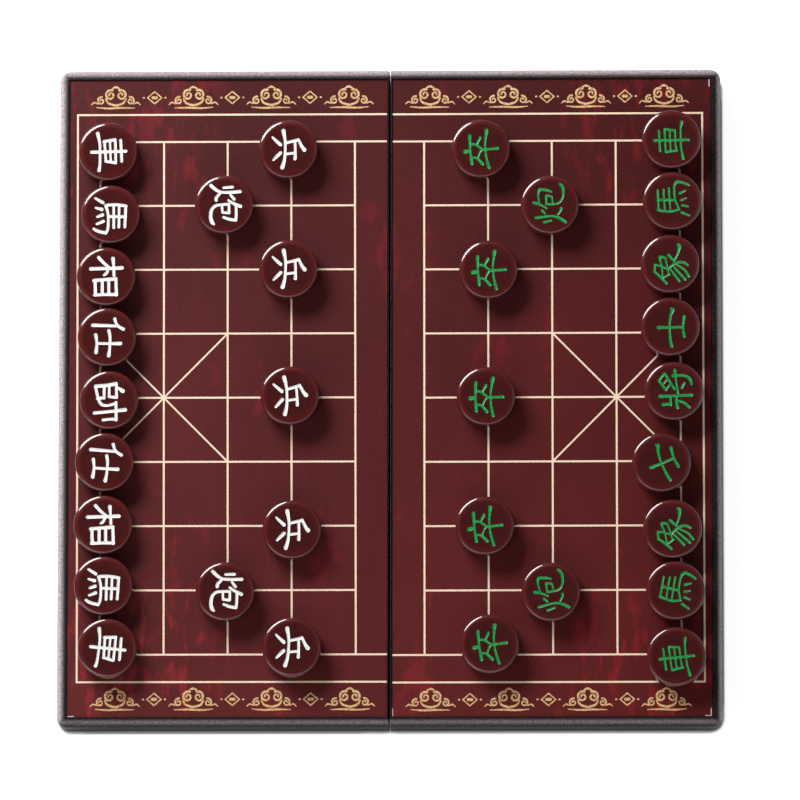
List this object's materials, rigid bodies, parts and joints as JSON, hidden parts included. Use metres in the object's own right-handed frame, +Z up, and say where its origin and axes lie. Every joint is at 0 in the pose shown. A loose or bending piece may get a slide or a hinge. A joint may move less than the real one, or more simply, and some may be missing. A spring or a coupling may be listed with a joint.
{
  "type": "folding xiangqi box",
  "caption": "Folding magnetic xiangqi box: two hinged tray halves with a printed board on their backs and round lettered playing pieces that lift off",
  "frame": {"origin": "on the table, under the middle of the seam between the two halves", "axes": "+Z up, +Y to the rear along the seam, +X to the right half"},
  "size_m": [0.28, 0.28, 0.0283],
  "materials": {
    "case_plastic": "charcoal moulded plastic with a fine leather grain",
    "printed_board": "satin maroon print with gold lines",
    "steel_sheet": "plain zinc-coated sheet",
    "hinge_steel": "drawn steel rod",
    "piece_white_side": "polished dark red-brown plastic, white paint in the engraving",
    "piece_green_side": "polished dark red-brown plastic, green paint in the engraving"
  },
  "bodies": {
    "left_half": {"left_shell": "case_plastic", "left_steel_sheet": "steel_sheet", "left_board_panel": "printed_board", "front_hinge_pin": "hinge_steel", "rear_hinge_pin": "hinge_steel"},
    "right_half": {"right_shell": "case_plastic", "right_steel_sheet": "steel_sheet", "right_board_panel": "printed_board"},
    "green_advisor_1": {"green_advisor_1": "piece_green_side"},
    "green_advisor_2": {"green_advisor_2": "piece_green_side"},
    "green_cannon_1": {"green_cannon_1": "piece_green_side"},
    "green_cannon_2": {"green_cannon_2": "piece_green_side"},
    "green_chariot_1": {"green_chariot_1": "piece_green_side"},
    "green_chariot_2": {"green_chariot_2": "piece_green_side"},
    "green_elephant_1": {"green_elephant_1": "piece_green_side"},
    "green_elephant_2": {"green_elephant_2": "piece_green_side"},
    "green_general": {"green_general": "piece_green_side"},
    "green_horse_1": {"green_horse_1": "piece_green_side"},
    "green_horse_2": {"green_horse_2": "piece_green_side"},
    "green_soldier_1": {"green_soldier_1": "piece_green_side"},
    "green_soldier_2": {"green_soldier_2": "piece_green_side"},
    "green_soldier_3": {"green_soldier_3": "piece_green_side"},
    "green_soldier_4": {"green_soldier_4": "piece_green_side"},
    "green_soldier_5": {"green_soldier_5": "piece_green_side"},
    "white_advisor_1": {"white_advisor_1": "piece_white_side"},
    "white_advisor_2": {"white_advisor_2": "piece_white_side"},
    "white_cannon_1": {"white_cannon_1": "piece_white_side"},
    "white_cannon_2": {"white_cannon_2": "piece_white_side"},
    "white_chariot_1": {"white_chariot_1": "piece_white_side"},
    "white_chariot_2": {"white_chariot_2": "piece_white_side"},
    "white_elephant_1": {"white_elephant_1": "piece_white_side"},
    "white_elephant_2": {"white_elephant_2": "piece_white_side"},
    "white_general": {"white_general": "piece_white_side"},
    "white_horse_1": {"white_horse_1": "piece_white_side"},
    "white_horse_2": {"white_horse_2": "piece_white_side"},
    "white_soldier_1": {"white_soldier_1": "piece_white_side"},
    "white_soldier_2": {"white_soldier_2": "piece_white_side"},
    "white_soldier_3": {"white_soldier_3": "piece_white_side"},
    "white_soldier_4": {"white_soldier_4": "piece_white_side"},
    "white_soldier_5": {"white_soldier_5": "piece_white_side"}
  },
  "joints": [
    {"name": "board_fold", "type": "hinge", "parent": "left_half", "child": "right_half", "pos_m": [0, 0, 0.0022], "axis": [0, 1, 0], "range_deg": [0, 180]},
    {"name": "lift_green_advisor_1", "type": "slide", "parent": "right_half", "child": "green_advisor_1", "axis": [0, 0, 1], "range_m": [0, 0.03]},
    {"name": "lift_green_advisor_2", "type": "slide", "parent": "right_half", "child": "green_advisor_2", "axis": [0, 0, 1], "range_m": [0, 0.03]},
    {"name": "lift_green_cannon_1", "type": "slide", "parent": "right_half", "child": "green_cannon_1", "axis": [0, 0, 1], "range_m": [0, 0.03]},
    {"name": "lift_green_cannon_2", "type": "slide", "parent": "right_half", "child": "green_cannon_2", "axis": [0, 0, 1], "range_m": [0, 0.03]},
    {"name": "lift_green_chariot_1", "type": "slide", "parent": "right_half", "child": "green_chariot_1", "axis": [0, 0, 1], "range_m": [0, 0.03]},
    {"name": "lift_green_chariot_2", "type": "slide", "parent": "right_half", "child": "green_chariot_2", "axis": [0, 0, 1], "range_m": [0, 0.03]},
    {"name": "lift_green_elephant_1", "type": "slide", "parent": "right_half", "child": "green_elephant_1", "axis": [0, 0, 1], "range_m": [0, 0.03]},
    {"name": "lift_green_elephant_2", "type": "slide", "parent": "right_half", "child": "green_elephant_2", "axis": [0, 0, 1], "range_m": [0, 0.03]},
    {"name": "lift_green_general", "type": "slide", "parent": "right_half", "child": "green_general", "axis": [0, 0, 1], "range_m": [0, 0.03]},
    {"name": "lift_green_horse_1", "type": "slide", "parent": "right_half", "child": "green_horse_1", "axis": [0, 0, 1], "range_m": [0, 0.03]},
    {"name": "lift_green_horse_2", "type": "slide", "parent": "right_half", "child": "green_horse_2", "axis": [0, 0, 1], "range_m": [0, 0.03]},
    {"name": "lift_green_soldier_1", "type": "slide", "parent": "right_half", "child": "green_soldier_1", "axis": [0, 0, 1], "range_m": [0, 0.03]},
    {"name": "lift_green_soldier_2", "type": "slide", "parent": "right_half", "child": "green_soldier_2", "axis": [0, 0, 1], "range_m": [0, 0.03]},
    {"name": "lift_green_soldier_3", "type": "slide", "parent": "right_half", "child": "green_soldier_3", "axis": [0, 0, 1], "range_m": [0, 0.03]},
    {"name": "lift_green_soldier_4", "type": "slide", "parent": "right_half", "child": "green_soldier_4", "axis": [0, 0, 1], "range_m": [0, 0.03]},
    {"name": "lift_green_soldier_5", "type": "slide", "parent": "right_half", "child": "green_soldier_5", "axis": [0, 0, 1], "range_m": [0, 0.03]},
    {"name": "lift_white_advisor_1", "type": "slide", "parent": "left_half", "child": "white_advisor_1", "axis": [0, 0, 1], "range_m": [0, 0.03]},
    {"name": "lift_white_advisor_2", "type": "slide", "parent": "left_half", "child": "white_advisor_2", "axis": [0, 0, 1], "range_m": [0, 0.03]},
    {"name": "lift_white_cannon_1", "type": "slide", "parent": "left_half", "child": "white_cannon_1", "axis": [0, 0, 1], "range_m": [0, 0.03]},
    {"name": "lift_white_cannon_2", "type": "slide", "parent": "left_half", "child": "white_cannon_2", "axis": [0, 0, 1], "range_m": [0, 0.03]},
    {"name": "lift_white_chariot_1", "type": "slide", "parent": "left_half", "child": "white_chariot_1", "axis": [0, 0, 1], "range_m": [0, 0.03]},
    {"name": "lift_white_chariot_2", "type": "slide", "parent": "left_half", "child": "white_chariot_2", "axis": [0, 0, 1], "range_m": [0, 0.03]},
    {"name": "lift_white_elephant_1", "type": "slide", "parent": "left_half", "child": "white_elephant_1", "axis": [0, 0, 1], "range_m": [0, 0.03]},
    {"name": "lift_white_elephant_2", "type": "slide", "parent": "left_half", "child": "white_elephant_2", "axis": [0, 0, 1], "range_m": [0, 0.03]},
    {"name": "lift_white_general", "type": "slide", "parent": "left_half", "child": "white_general", "axis": [0, 0, 1], "range_m": [0, 0.03]},
    {"name": "lift_white_horse_1", "type": "slide", "parent": "left_half", "child": "white_horse_1", "axis": [0, 0, 1], "range_m": [0, 0.03]},
    {"name": "lift_white_horse_2", "type": "slide", "parent": "left_half", "child": "white_horse_2", "axis": [0, 0, 1], "range_m": [0, 0.03]},
    {"name": "lift_white_soldier_1", "type": "slide", "parent": "left_half", "child": "white_soldier_1", "axis": [0, 0, 1], "range_m": [0, 0.03]},
    {"name": "lift_white_soldier_2", "type": "slide", "parent": "left_half", "child": "white_soldier_2", "axis": [0, 0, 1], "range_m": [0, 0.03]},
    {"name": "lift_white_soldier_3", "type": "slide", "parent": "left_half", "child": "white_soldier_3", "axis": [0, 0, 1], "range_m": [0, 0.03]},
    {"name": "lift_white_soldier_4", "type": "slide", "parent": "left_half", "child": "white_soldier_4", "axis": [0, 0, 1], "range_m": [0, 0.03]},
    {"name": "lift_white_soldier_5", "type": "slide", "parent": "left_half", "child": "white_soldier_5", "axis": [0, 0, 1], "range_m": [0, 0.03]}
  ]
}
